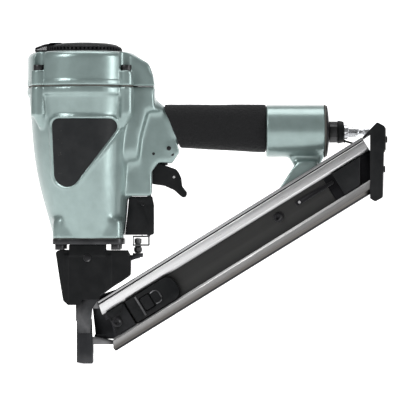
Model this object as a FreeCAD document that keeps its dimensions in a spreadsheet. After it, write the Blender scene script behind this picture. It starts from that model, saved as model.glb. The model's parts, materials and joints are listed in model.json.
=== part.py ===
import FreeCAD, Part
import math
import os
import re
import Sketcher

# Pneumatic finish nailer. Millimetres. The drive axis is the Z axis, +Z up; the muzzle of the
# contact tip is at the origin. +X runs along the handle to the air inlet. The magazine runs up
# and back from the drive axis and is turned a little towards -Y, clear of the air plug.

doc = FreeCAD.newDocument("nailer")
sheet = doc.addObject("Spreadsheet::Sheet", "dims")

DIMENSIONS = {
    # barrel of the housing: height and left and right limits of its round sections
    "barrel_low": 115, "barrel_low_left": -27.6, "barrel_low_right": 36.8,
    "barrel_mid": 138, "barrel_mid_left": -34.0, "barrel_mid_right": 39.6,
    "barrel_waist": 159, "barrel_waist_left": -39.6, "barrel_waist_right": 41,
    "barrel_high": 214, "barrel_high_left": -47.8, "barrel_high_right": 45,
    "barrel_top": 253, "barrel_top_left": -51.5, "barrel_top_right": 50,
    "flange_depth": 30, "flange_top": 133, "flange_corner": 9,
    # cover bolts and their ears
    "ear_x": 39.6, "ear_y": 32, "ear_radius": 7.2, "ear_bottom": 226,
    "cover_bolt_radius": 2.5, "cover_bolt_seat": 267.5, "cover_bolt_head": 5, "cover_bolt_bottom": 232,
    # top cover and exhaust deflector
    "gasket_thick": 1, "cover_top": 285, "cover_shoulder_y": 24, "cover_edge": 6,
    "deflector_radius": 35.5, "deflector_top": 294.4, "deflector_gap": 0.4, "spout_end": -44,
    "spout_half": 15, "deflector_wall": 2.4,
    # cylinder, piston and driver
    "bore": 20, "sleeve_outer": 23, "sleeve_low": 120, "sleeve_top": 236,
    "bumper_top": 149.5, "piston_low": 216, "piston_top": 230, "blade_tip": 70,
    "blade_thick": 1.6, "blade_width": 3,
    "head_valve_low": 236.4, "head_valve_top": 258, "head_valve_radius": 34,
    # handle
    "handle_z": 213.4, "handle_rear_radius": 24, "handle_rear_start": 167.6, "handle_rear_end": 221,
    "core_low": 202, "core_high": 233.6, "core_half": 15, "grip_start": 72, "grip_end": 167.2,
    "grip_half": 19, "grip_low_front": 199, "grip_low_rear": 193.8, "grip_high": 237.6,
    # trigger group
    "cheek_half": 14, "cheek_slot": 9.4, "trigger_half": 9, "trigger_slot": 6.4,
    "pivot_x": 64.2, "pivot_z": 192.3, "pin_radius": 1.6, "arm_x": 82.8, "arm_z": 171,
    "valve_x": 72.5, "valve_radius": 5.8, "valve_low": 182, "valve_high": 207,
    "stem_radius": 2.2, "stem_low": 179.4, "dowel_x": 78.2, "dowel_z": 197.3, "dowel_radius": 2.1,
    "roll_pin_x": 81.4, "roll_pin_z": 191.8,
    # nose and contact arm
    "nose_plate_low": 109.6, "nose_plate_top": 114.4, "nose_end": 17.4, "mouth_radius": 2.6, "column_half": 5.4,
    "lever_x": 49.7, "frame_left": 44.8, "frame_right": 60.4, "frame_low": 107.8, "frame_top": 117.2,
    "strip_left": 58.2, "strip_right": 61.8, "strip_top": 169.6, "lever_half": 1.3,
    "guard_low": 118, "guard_high": 153.3, "guard_half": 9,
    # magazine: pitch from the horizontal, turn about the drive axis, section sizes
    "pitch": 31.7, "turn": 6, "magazine_drop": 8, "rail_height": 48.6, "rail_near": 10,
    "rail_far": 7, "web_near": 2.9, "channel_low": 11.6, "channel_high": 35.1,
    "track_half": 1.3, "track_low": 4, "track_high": 45, "magazine_tail": 263.2,
    "feeder_front": 67.5, "feeder_rear": 116,
    "front_bolt_u": 51.9, "front_bolt_v": 22.7, "bracket_bolt_u": 227.4, "bracket_bolt_v": 26.8,
    "magazine_bolt_radius": 2.5, "magazine_bolt_head": 4.6,
    # air inlet
    "inlet_z": 212.5, "dome_end": 224.6, "bushing_end": 232.8, "ring_end": 238.8, "plug_end": 262.2,
    "fit": 0.05,
}
for row, (alias, value) in enumerate(DIMENSIONS.items(), start=1):
    sheet.set(f"A{row}", alias)
    sheet.set(f"B{row}", str(value))
    sheet.setAlias(f"B{row}", alias)
doc.recompute()

AXIS_OF_PLANE = {"XY": "XY_Plane", "XZ": "XZ_Plane", "YZ": "YZ_Plane"}


def ref(size):
    """An expression with every sheet alias written the way the document reads it."""
    return re.sub(r"[a-z_]+[a-z_0-9]*", lambda m: f"dims.{m[0]}" if m[0] in DIMENSIONS else m[0], str(size))


def num(size):
    """The present value of an expression over the sheet."""
    return float(sheet.evalExpression(ref(size)))


def new_body(label):
    body = doc.addObject("PartDesign::Body", label)
    body.Label = label
    return body


def sketch_on(body, plane, name, level="0", turned=False):
    """A sketch on one of the body's origin planes, moved along that plane's third axis to level."""
    sketch = body.newObject("Sketcher::SketchObject", name)
    support = [f for f in body.Origin.OriginFeatures if f.Role == AXIS_OF_PLANE[plane]][0]
    sketch.AttachmentSupport = [(support, "")]
    sketch.MapMode = "FlatFace"
    lift = f"-({ref(level)})" if plane == "XZ" else ref(level)
    if turned:
        rotation = FreeCAD.Rotation(FreeCAD.Vector(0, 1, 0), -num("turn"))
        sketch.AttachmentOffset = FreeCAD.Placement(FreeCAD.Vector(0, 0, 0), rotation)
        sketch.setExpression("AttachmentOffset.Base.x", f"-({lift}) * sin({ref('turn')})")
        sketch.setExpression("AttachmentOffset.Base.z", f"({lift}) * cos({ref('turn')})")
        sketch.setExpression("AttachmentOffset.Rotation.Angle", ref("-turn"))
    else:
        sketch.setExpression("AttachmentOffset.Base.z", lift)
    return sketch


def place_point(shape, end, across, up, name):
    """Constraints that hold one point of a sketch at two expressions from the sketch's origin."""
    held = []
    for kind, size, axis in (("DistanceX", across, -2), ("DistanceY", up, -1)):
        value = num(size)
        if abs(value) < 1e-9:
            held.append((Sketcher.Constraint("PointOnObject", shape, end, axis), None, None))
        elif value > 0:
            held.append((Sketcher.Constraint(kind, -1, 1, shape, end, value), name + kind[-1], ref(size)))
        else:
            negative = Sketcher.Constraint(kind, shape, end, -1, 1, -value)
            held.append((negative, name + kind[-1], f"-({ref(size)})"))
    return held


def rounded_corner(before, corner, after, radius):
    to_before = (before - corner).normalize()
    to_after = (after - corner).normalize()
    half = to_before.getAngle(to_after) / 2
    start = corner + to_before * (radius / math.tan(half))
    end = corner + to_after * (radius / math.tan(half))
    inward = (to_before + to_after).normalize()
    middle = corner + inward * (radius / math.sin(half) - radius)
    turns_left = to_after.cross(to_before).z > 0
    arc = Part.Arc(start, middle, end) if turns_left else Part.Arc(end, middle, start)
    return start, end, arc


def outline(sketch, corners, name):
    """A closed outline. Each corner is (across, up) or (across, up, rounding radius)."""
    points = [FreeCAD.Vector(num(corner[0]), num(corner[1]), 0) for corner in corners]
    ends = []
    for i, corner in enumerate(corners):
        if len(corner) == 3:
            following = points[(i + 1) % len(points)]
            ends.append(rounded_corner(points[i - 1], points[i], following, num(corner[2])))
        else:
            ends.append((points[i], points[i], None))
    lines = []
    for i in range(len(corners)):
        line = Part.LineSegment(ends[i][1], ends[(i + 1) % len(corners)][0])
        lines.append(sketch.addGeometry(line, False))
    held = []
    for i, corner in enumerate(corners):
        incoming, outgoing = lines[i - 1], lines[i]
        start, end, arc = ends[i]
        if arc is None:
            held.append((Sketcher.Constraint("Coincident", incoming, 2, outgoing, 1), None, None))
            held += place_point(outgoing, 1, corner[0], corner[1], f"{name}{i}")
            continue
        curve = sketch.addGeometry(arc, False)
        first = 1 if (sketch.Geometry[curve].StartPoint - start).Length < 1e-6 else 2
        held.append((Sketcher.Constraint("Tangent", incoming, 2, curve, first), None, None))
        held.append((Sketcher.Constraint("Tangent", curve, 3 - first, outgoing, 1), None, None))
        radius = Sketcher.Constraint("Radius", curve, num(corner[2]))
        held.append((radius, f"{name}{i}R", ref(corner[2])))
        point = sketch.addGeometry(Part.Point(points[i]), True)
        held.append((Sketcher.Constraint("PointOnObject", point, 1, incoming), None, None))
        held.append((Sketcher.Constraint("PointOnObject", point, 1, outgoing), None, None))
        held += place_point(point, 1, corner[0], corner[1], f"{name}{i}")
    return held


def circle(sketch, across, up, radius, name):
    centre = FreeCAD.Vector(num(across), num(up), 0)
    shape = sketch.addGeometry(Part.Circle(centre, FreeCAD.Vector(0, 0, 1), num(radius)), False)
    size = Sketcher.Constraint("Radius", shape, num(radius))
    return place_point(shape, 3, across, up, name) + [(size, name + "R", ref(radius))]


def draw(sketch, loops):
    """Loops are outlines (lists of corners) or circles (tuples of centre and radius)."""
    held = []
    for i, loop in enumerate(loops):
        if isinstance(loop, tuple):
            held += circle(sketch, *loop, f"o{i}_")
        else:
            held += outline(sketch, loop, f"c{i}_")
    indices = sketch.addConstraint([constraint for constraint, _, _ in held])
    for index, (_, name, size) in zip(indices, held):
        if name:
            sketch.renameConstraint(index, name)
            sketch.setExpression(f"Constraints.{name}", size)


def extrude(body, name, plane, loops, start, end, cut=False, turned=False):
    """Pad or pocket loops between two levels of the axis square to the plane."""
    along = plane != "XZ"
    level = start if along != cut else end
    sketch = sketch_on(body, plane, name + "_sketch", level, turned)
    draw(sketch, loops)
    feature = body.newObject("PartDesign::Pocket" if cut else "PartDesign::Pad", name)
    feature.Profile = sketch
    feature.setExpression("Length", f"{ref(end)} - ({ref(start)})")
    return feature


def revolve(body, name, loops, centre="0", level="0", about="V", cut=False):
    """Turn loops about a vertical line at centre (V) or a horizontal line at height centre (H)."""
    sketch = sketch_on(body, "XZ", name + "_sketch", level)
    shift = "x" if about == "V" else "y"
    sketch.setExpression(f"AttachmentOffset.Base.{shift}", ref(centre))
    draw(sketch, loops)
    feature = body.newObject("PartDesign::Groove" if cut else "PartDesign::Revolution", name)
    feature.Profile = sketch
    feature.ReferenceAxis = (sketch, [f"{about}_Axis"])
    feature.Angle = 360
    return feature


def loft(body, name, plane, sections):
    """A smooth loft through (level, loop) sections."""
    sketches = []
    for i, (level, loop) in enumerate(sections):
        sketch = sketch_on(body, plane, f"{name}_section{i}", level)
        draw(sketch, [loop])
        sketches.append(sketch)
    feature = body.newObject("PartDesign::AdditiveLoft", name)
    feature.Profile = sketches[0]
    feature.Sections = sketches[1:]
    return feature


def box_loop(left, low, right, high, corner=None):
    corners = [(left, low), (right, low), (right, high), (left, high)]
    return corners if corner is None else [(across, up, corner) for across, up in corners]


def fillet(body, name, keep, radius):
    """Round the edges of the body's present shape that keep picks out."""
    doc.recompute()
    base = body.Tip
    edges = [f"Edge{i}" for i, edge in enumerate(base.Shape.Edges, start=1) if keep(edge)]
    feature = body.newObject("PartDesign::Fillet", name)
    feature.Base = (base, edges)
    feature.setExpression("Radius", ref(radius))
    return feature


def at_height(edge, axis, level):
    box = edge.BoundBox
    low, high = {"X": (box.XMin, box.XMax), "Z": (box.ZMin, box.ZMax)}[axis]
    return abs(low - num(level)) < 1e-3 and abs(high - num(level)) < 1e-3


def coil(body, name, centre_x, mean_radius, wire, low, high, turns):
    """A compression spring about a vertical line, its wire centre running between two heights."""
    sketch = sketch_on(body, "XZ", name + "_sketch")
    sketch.setExpression("AttachmentOffset.Base.x", ref(centre_x))
    sketch.setExpression("AttachmentOffset.Base.y", f"{ref(low)} + {ref(wire)}")
    draw(sketch, [(mean_radius, "0", wire)])
    feature = body.newObject("PartDesign::AdditiveHelix", name)
    feature.Profile = sketch
    feature.ReferenceAxis = (sketch, ["V_Axis"])
    feature.Mode = "pitch-height-angle"
    height = f"({ref(high)} - ({ref(low)}) - 2 * {ref(wire)})"
    feature.setExpression("Height", height)
    feature.setExpression("Pitch", f"{height} / {turns}")
    return feature


def group(label, pattern, places):
    """One node holding separate copies of a pattern body at several places."""
    links = []
    for i, place in enumerate(places):
        link = doc.addObject("App::Link", f"{label}_{i}")
        link.LinkedObject = pattern
        link.Placement = place
        links.append(link)
    node = doc.addObject("Part::Compound", label)
    node.Label = label
    node.Links = links
    return node


def shift(across=0, deep=0, up=0):
    return FreeCAD.Placement(FreeCAD.Vector(across, deep, up), FreeCAD.Rotation())


nodes = []


def keep(node):
    nodes.append(node)
    return node


TURN = FreeCAD.Rotation(FreeCAD.Vector(0, 0, 1), -num("turn"))
PITCH = FreeCAD.Rotation(FreeCAD.Vector(0, -1, 0), num("pitch"))
MAGAZINE = FreeCAD.Placement(FreeCAD.Vector(0, 0, -num("magazine_drop")), TURN * PITCH)
TAIL = FreeCAD.Placement(FreeCAD.Vector(0, 0, 0), TURN)
EARS = [(side_x, side_y) for side_x in (-1, 1) for side_y in (-1, 1)]


def ear_loops(radius):
    return [(f"{side_x} * ear_x", f"{side_y} * ear_y", radius) for side_x, side_y in EARS]


def barrel_loops(grow="0"):
    """Round barrel sections as (height, circle), grown outwards by an amount."""
    sections = []
    for level in ("low", "mid", "waist", "high", "top"):
        left, right = f"barrel_{level}_left", f"barrel_{level}_right"
        section = (f"({left} + {right}) / 2", "0", f"({right} - {left}) / 2 + {grow}")
        sections.append((f"barrel_{level}", section))
    return sections


# ---------------------------------------------------------------- housing casting
def make_housing():
    body = keep(new_body("housing"))
    loft(body, "barrel", "XY", barrel_loops())
    flange = box_loop("barrel_low_left", "-flange_depth", "barrel_low_right", "flange_depth", "flange_corner")
    extrude(body, "flange", "XY", [flange], "barrel_low", "flange_top")
    for i, loop in enumerate(ear_loops("ear_radius")):
        extrude(body, f"ear{i}", "XY", [loop], "ear_bottom", "barrel_top")
    extrude(body, "shoulder", "YZ", [[
        ("-23", "184", "12"), ("23", "184", "12"), ("23", "barrel_top"), ("-23", "barrel_top")]], "20", "65.3")
    loft(body, "neck", "YZ", [
        ("65", box_loop("-22.6", "184.4", "22.6", "243", "15")),
        ("74", box_loop("-18.2", "193", "18.2", "236.4", "15"))])
    extrude(body, "core", "YZ", [box_loop("-core_half", "core_low", "core_half", "core_high", "10")],
            "60", "handle_rear_start + 4")
    extrude(body, "rear", "YZ", [("0", "handle_z", "handle_rear_radius")], "handle_rear_start",
            "handle_rear_end")
    extrude(body, "cheeks", "XZ", [[
        ("38", "220"), ("38", "153.6"), ("62.6", "153.6", "4"), ("62.6", "176", "6"), ("69", "184.4", "3"),
        ("81", "183.6", "3"), ("88", "194", "2"), ("80", "221")]], "-cheek_half", "cheek_half")
    extrude(body, "bracket_arm", "XZ", [[
        ("184", "200"), ("188.5", "189", "4"), ("196", "177"), ("190", "160"), ("214", "160"), ("217", "183"),
        ("221", "190", "4"), ("221", "205")]], "-9", "9")
    extrude(body, "bracket_foot", "XZ", [[
        ("170", "126", "6"), ("188", "126", "6"), ("217", "168"), ("214", "186"), ("196", "186"),
        ("170", "146", "6")]], "rail_far + 0.2", "rail_far + 9", turned=True)
    # the trigger housing's sides stand back from the shoulder behind a raised edge
    relief = [("59", "231"), ("52.5", "207", "6"), ("49.8", "184", "6"), ("49.8", "150"), ("90", "150"),
              ("90", "192"), ("73.4", "231")]
    extrude(body, "near_relief", "XZ", [relief], "-25", "-cheek_half", cut=True)
    extrude(body, "far_relief", "XZ", [relief], "cheek_half", "25", cut=True)
    # hollow: cylinder bore with its air space, handle air space, trigger slot, valve bore
    revolve(body, "bore_space", [[
        ("0", "barrel_low - 1"), ("18", "barrel_low - 1"), ("18", "sleeve_low"), ("sleeve_outer + fit", "sleeve_low"),
        ("sleeve_outer + fit", "146"), ("33", "160"), ("38", "200"), ("42", "barrel_top + 1"),
        ("0", "barrel_top + 1")]], cut=True)
    extrude(body, "handle_space", "YZ", [("0", "218", "10.5")], "20", "handle_rear_end + 1", cut=True)
    extrude(body, "rear_space", "YZ", [("0", "handle_z", "20")], "172", "handle_rear_end + 1", cut=True)
    extrude(body, "trigger_slot", "XZ", [[
        ("56.8", "150"), ("96", "150"), ("96", "188.5"), ("78", "188.5"), ("70", "188.5"), ("70", "200"),
        ("56.8", "200")]], "-cheek_slot", "cheek_slot", cut=True)
    extrude(body, "valve_bore", "XY", [("valve_x", "0", "valve_radius + fit")], "180", "valve_high + 8", cut=True)
    for name, across, up, radius in (
            ("pivot_hole", "pivot_x", "pivot_z", "pin_radius"), ("dowel_hole", "dowel_x", "dowel_z", "dowel_radius"),
            ("roll_pin_hole", "roll_pin_x", "roll_pin_z", "pin_radius")):
        extrude(body, name, "XZ", [(across, up, f"{radius} + fit")], "-cheek_half - 1", "cheek_half + 1", cut=True)
    for i, loop in enumerate(ear_loops("cover_bolt_radius + fit")):
        extrude(body, f"ear_hole{i}", "XY", [loop], "cover_bolt_bottom - 1", "barrel_top + 1", cut=True)
    for i, (across, deep) in enumerate(NOSE_BOLTS):
        hole = (across, deep, "cover_bolt_radius + fit")
        extrude(body, f"flange_hole{i}", "XY", [hole], "barrel_low - 1", "barrel_low + 14", cut=True)
    extrude(body, "bracket_hole", "XZ", [(BRACKET_BOLT_X, BRACKET_BOLT_Z, "magazine_bolt_radius + fit")],
            "rail_far", "rail_far + 12", cut=True, turned=True)


NOSE_BOLTS = [("-21", "-23"), ("-21", "23"), ("30", "-23"), ("30", "23")]
BRACKET_BOLT_X = "bracket_bolt_u * cos(pitch) - bracket_bolt_v * sin(pitch)"
BRACKET_BOLT_Z = "bracket_bolt_u * sin(pitch) + bracket_bolt_v * cos(pitch) - magazine_drop"
FRONT_BOLT_X = "front_bolt_u * cos(pitch) - front_bolt_v * sin(pitch)"
FRONT_BOLT_Z = "front_bolt_u * sin(pitch) + front_bolt_v * cos(pitch) - magazine_drop"


def make_label_plate():
    """Rounded three-cornered name plate, bent round the near side of the barrel."""
    shell = new_body("plate_shell")
    loft(shell, "plate_outside", "XY", barrel_loops("1.4"))
    inside = new_body("plate_inside")
    loft(inside, "plate_inside_loft", "XY", barrel_loops("0.3"))
    shape = new_body("plate_shape")
    extrude(shape, "plate_prism", "XZ", [[
        ("-27.5", "223.6", "6"), ("38.8", "223.6", "7"), ("-24.5", "139.8", "12")]], "-60", "0")
    ring = doc.addObject("Part::Cut", "plate_ring")
    ring.Base = shell
    ring.Tool = inside
    plate = keep(doc.addObject("Part::Common", "label_plate"))
    plate.Label = "label_plate"
    plate.Base = ring
    plate.Tool = shape


# ---------------------------------------------------------------- cover, gasket, deflector
def make_cover():
    middle = "(barrel_top_left + barrel_top_right) / 2"
    radius = "(barrel_top_right - barrel_top_left) / 2"
    low = "barrel_top + gasket_thick"
    body = keep(new_body("top_cover"))
    extrude(body, "drum", "XY", [(middle, "0", radius)], low, "cover_top")
    fillet(body, "drum_edge", lambda edge: at_height(edge, "Z", "cover_top"), "cover_edge")
    extrude(body, "shoulder", "XZ", [[
        ("20", low), ("65.3", low), ("63.8", "265"), ("60.5", "274.5"), ("47", "282.4", "8"), ("20", "282.4")]],
        "-cover_shoulder_y", "cover_shoulder_y")
    for i, loop in enumerate(ear_loops("ear_radius")):
        extrude(body, f"cover_ear{i}", "XY", [loop], low, "cover_bolt_seat")
    for i, loop in enumerate(ear_loops("ear_radius - 0.4")):
        extrude(body, f"scallop{i}", "XY", [loop], "cover_bolt_seat", "cover_top + 1", cut=True)
    for i, loop in enumerate(ear_loops("cover_bolt_radius + fit")):
        extrude(body, f"cover_hole{i}", "XY", [loop], "barrel_top", "cover_bolt_seat + 1", cut=True)
    revolve(body, "valve_chamber", [[
        ("0", "barrel_top"), ("head_valve_radius + fit", "barrel_top"), ("head_valve_radius + fit", "275"),
        ("12", "275"), ("12", "cover_top + 1"), ("0", "cover_top + 1")]], cut=True)

    gasket = keep(new_body("cover_gasket"))
    extrude(gasket, "ring", "XY", [(middle, "0", f"{radius} - 0.5"), ("0", "0", "43")], "barrel_top", low)
    for i, loop in enumerate(ear_loops("ear_radius - 0.6")):
        extrude(gasket, f"lug{i}", "XY", [loop], "barrel_top", low)
    for i, loop in enumerate(ear_loops("cover_bolt_radius + fit")):
        extrude(gasket, f"gasket_hole{i}", "XY", [loop], "barrel_top - 1", "barrel_top + 3", cut=True)


def socket_bolt(label, shank, head, bottom, seat, head_height):
    """A socket head bolt on the Z axis."""
    body = new_body(label)
    extrude(body, "head", "XY", [("0", "0", head)], seat, f"{seat} + {head_height}")
    extrude(body, "shank", "XY", [("0", "0", shank)], bottom, seat)
    side = f"({head} * 0.55)"
    corners = [(f"{side} * {math.cos(math.radians(a)):.6f}", f"{side} * {math.sin(math.radians(a)):.6f}")
               for a in range(0, 360, 60)]
    extrude(body, "socket", "XY", [corners], f"{seat} + {head_height} / 2", f"{seat} + {head_height} + 1", cut=True)
    return body


def make_cover_bolts():
    bolt = socket_bolt("cover_bolt", "cover_bolt_radius", "cover_bolt_head", "cover_bolt_bottom",
                       "cover_bolt_seat", "5")
    places = [shift(side_x * num("ear_x"), side_y * num("ear_y")) for side_x, side_y in EARS]
    keep(group("cover_bolts", bolt, places))


def make_deflector():
    low = "cover_top + deflector_gap"
    inner = "deflector_radius - deflector_wall"
    body = keep(new_body("exhaust_deflector"))
    extrude(body, "disc", "XY", [("0", "0", "deflector_radius")], low, "deflector_top")
    spout = box_loop("spout_end", "-spout_half", "-20", "spout_half")
    extrude(body, "spout", "XY", [spout], low, "deflector_top - 1")
    extrude(body, "hollow", "XY", [("0", "0", inner)], "cover_top", "deflector_top - deflector_wall", cut=True)
    mouth = box_loop("spout_end - 1", "-spout_half + deflector_wall", "-20", "spout_half - deflector_wall")
    extrude(body, "mouth", "XY", [mouth], f"{low} + 1.4", "deflector_top - 3", cut=True)
    extrude(body, "hub", "XY", [("0", "0", "7")], low, "deflector_top - 1")
    extrude(body, "hub_hole", "XY", [("0", "0", "3 + fit")], "cover_top", "deflector_top + 1", cut=True)
    extrude(body, "head_pocket", "XY", [("0", "0", "5.6")], "deflector_top - 5", "deflector_top + 1", cut=True)
    slots = []
    for angle in (235, 252, 269, 286, 303, 320):
        across = f"deflector_radius * {math.cos(math.radians(angle)):.5f}"
        deep = f"deflector_radius * {math.sin(math.radians(angle)):.5f}"
        slots.append((across, deep, "1.3"))
    for i, slot in enumerate(slots):
        extrude(body, f"rim_slot{i}", "XY", [slot], f"{low} + 1.5", "deflector_top - 3", cut=True)

    bolt = keep(new_body("deflector_bolt"))
    extrude(bolt, "shank", "XY", [("0", "0", "3")], "279", "deflector_top - 5")
    extrude(bolt, "head", "XY", [("0", "0", "5.2")], "deflector_top - 5", "deflector_top - 0.6")
    plug = keep(new_body("cover_plug"))
    extrude(plug, "disc", "XY", [("0", "0", "12 - fit"), ("0", "0", "3 + fit")], "278", "cover_top")


# ---------------------------------------------------------------- cylinder, piston, head valve
def make_engine():
    sleeve = keep(new_body("cylinder_sleeve"))
    revolve(sleeve, "tube", [[
        ("bore", "sleeve_low"), ("sleeve_outer", "sleeve_low"), ("sleeve_outer", "sleeve_top"),
        ("bore", "sleeve_top")]])
    seal = keep(new_body("sleeve_seal"))
    revolve(seal, "ring", [("sleeve_outer + 3.2", "157", "2")])
    revolve(seal, "seat", [[("sleeve_outer + fit", "155.4"), ("sleeve_outer + 3", "155.4"),
                            ("sleeve_outer + 3", "158.6"), ("sleeve_outer + fit", "158.6")]])

    bumper = keep(new_body("piston_bumper"))
    revolve(bumper, "cushion", [[
        ("4", "sleeve_low - 4"), ("17", "sleeve_low - 4"), ("17", "sleeve_low"), ("bore - 0.4", "sleeve_low"),
        ("bore - 1.4", "135"), ("bore - 2", "bumper_top", "3"), ("4", "bumper_top")]])

    piston = keep(new_body("piston"))
    revolve(piston, "crown", [[
        ("0", "piston_low"), ("bore - fit", "piston_low"), ("bore - fit", "piston_low + 5"),
        ("bore - 2.2", "piston_low + 5"), ("bore - 2.2", "piston_low + 9"), ("bore - fit", "piston_low + 9"),
        ("bore - fit", "piston_top"), ("9", "piston_top"), ("9", "piston_top + 3"), ("0", "piston_top + 3")]])
    blade_loop = box_loop("-blade_thick / 2", "-blade_width / 2", "blade_thick / 2", "blade_width / 2")
    extrude(piston, "blade_socket", "XY", [blade_loop], "piston_low - 1", "piston_low + 11", cut=True)
    ring = keep(new_body("piston_ring"))
    revolve(ring, "ring", [[
        ("bore - 2.15", "piston_low + 5.1"), ("bore - fit", "piston_low + 5.1"),
        ("bore - fit", "piston_low + 8.9"), ("bore - 2.15", "piston_low + 8.9")]])
    blade = keep(new_body("driver_blade"))
    extrude(blade, "bar", "XY", [blade_loop], "blade_tip", "piston_low + 11")

    valve = keep(new_body("head_valve"))
    revolve(valve, "ring", [[
        ("14", "head_valve_low"), ("26", "head_valve_low"), ("28", "246"), ("head_valve_radius - 0.4", "246"),
        ("head_valve_radius - 0.4", "head_valve_top"), ("28", "head_valve_top"), ("28", "252"), ("24", "252"),
        ("24", "250"), ("14", "250")]])
    seal = keep(new_body("head_valve_seal"))
    revolve(seal, "ring", [[
        ("24.2", "252.05"), ("27.95", "252.05"), ("27.95", "head_valve_top"), ("24.2", "head_valve_top")]])
    spring = keep(new_body("head_valve_spring"))
    coil(spring, "coil", "0", "19", "1.6", "250.3", "274.7", 3)


# ---------------------------------------------------------------- handle fittings
def make_handle_fittings():
    sleeve = keep(new_body("grip_sleeve"))
    loft(sleeve, "foam", "YZ", [
        ("grip_start", box_loop("-grip_half", "grip_low_front", "grip_half", "grip_high", "15")),
        ("grip_end", box_loop("-grip_half", "grip_low_rear", "grip_half", "grip_high", "15"))])
    extrude(sleeve, "core_hole", "YZ", [
        box_loop("-core_half", "core_low", "core_half", "core_high", "10")], "60", "grip_end + 1", cut=True)
    extrude(sleeve, "front_cut", "XZ", [[
        ("60", "245"), ("74.4", "245"), ("74.4", "232"), ("92", "190"), ("60", "190")]], "-25", "25", cut=True)

    gasket = keep(new_body("end_gasket"))
    revolve(gasket, "ring", [[
        ("handle_rear_end", "20"), ("handle_rear_end + 0.8", "20"), ("handle_rear_end + 0.8", "24.4"),
        ("handle_rear_end", "24.4")]], "handle_z", about="H")
    cap = keep(new_body("handle_end_cap"))
    revolve(cap, "dome", [[
        ("handle_rear_end + 0.8", "8"), ("dome_end + 1", "8"), ("dome_end", "17"),
        ("handle_rear_end + 2.4", "23.6"), ("handle_rear_end + 0.8", "23.6")]], "handle_z", about="H")
    revolve(cap, "skirt", [[
        ("handle_rear_end - 7", "17"), ("handle_rear_end + 2", "17"), ("handle_rear_end + 2", "20 - fit"),
        ("handle_rear_end - 7", "20 - fit")]], "handle_z", about="H")

    bushing = keep(new_body("inlet_bushing"))
    corners = [(f"{9.8 * math.cos(math.radians(a)):.5f}", f"inlet_z + {9.8 * math.sin(math.radians(a)):.5f}")
               for a in range(30, 390, 60)]
    extrude(bushing, "hexagon", "YZ", [corners], "dome_end + 1.1", "bushing_end")
    extrude(bushing, "thread", "YZ", [("0", "inlet_z", "7")], "handle_rear_end - 4", "dome_end + 1.1")
    extrude(bushing, "passage", "YZ", [("0", "inlet_z", "5")], "handle_rear_end - 6", "bushing_end + 1", cut=True)
    ring = keep(new_body("dust_ring"))
    revolve(ring, "band", [[
        ("bushing_end + 0.2", "5.4"), ("ring_end", "5.4"), ("ring_end", "9.6", "1.2"),
        ("bushing_end + 0.2", "10.8", "1")]], "inlet_z", about="H")
    strap = keep(new_body("dust_cap_strap"))
    extrude(strap, "strap", "XZ", [[
        ("ring_end + 0.1", "203.6"), ("252", "199.8"), ("252", "201.6"), ("ring_end + 0.1", "205.4")]], "-2.4", "2.4")
    extrude(strap, "tab", "XZ", [[
        ("ring_end + 0.1", "202.6"), ("ring_end + 1.2", "202.6"), ("ring_end + 1.2", "205.8"),
        ("ring_end + 0.1", "205.8")]], "-2.4", "2.4")

    plug = keep(new_body("air_plug"))
    revolve(plug, "turned", [[
        ("bushing_end - 8", "2"), ("plug_end", "2"), ("plug_end", "4.2", "0.6"), ("257.6", "4.2"), ("257", "2.9"),
        ("252.6", "2.9"), ("251.8", "4.6"), ("243", "4.6"), ("242.4", "6.4"), ("ring_end + 0.2", "6.4"),
        ("ring_end + 0.2", "5 - fit"), ("bushing_end - 8", "5 - fit")]], "inlet_z", about="H")
    screen = keep(new_body("inlet_screen"))
    revolve(screen, "cup", [[
        ("handle_rear_end - 18", "0"), ("handle_rear_end - 18", "6"), ("handle_rear_end - 4.2", "6"),
        ("handle_rear_end - 4.2", "4.6"), ("handle_rear_end - 16.6", "4.6"), ("handle_rear_end - 16.6", "0")]],
        "inlet_z", about="H")


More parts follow.
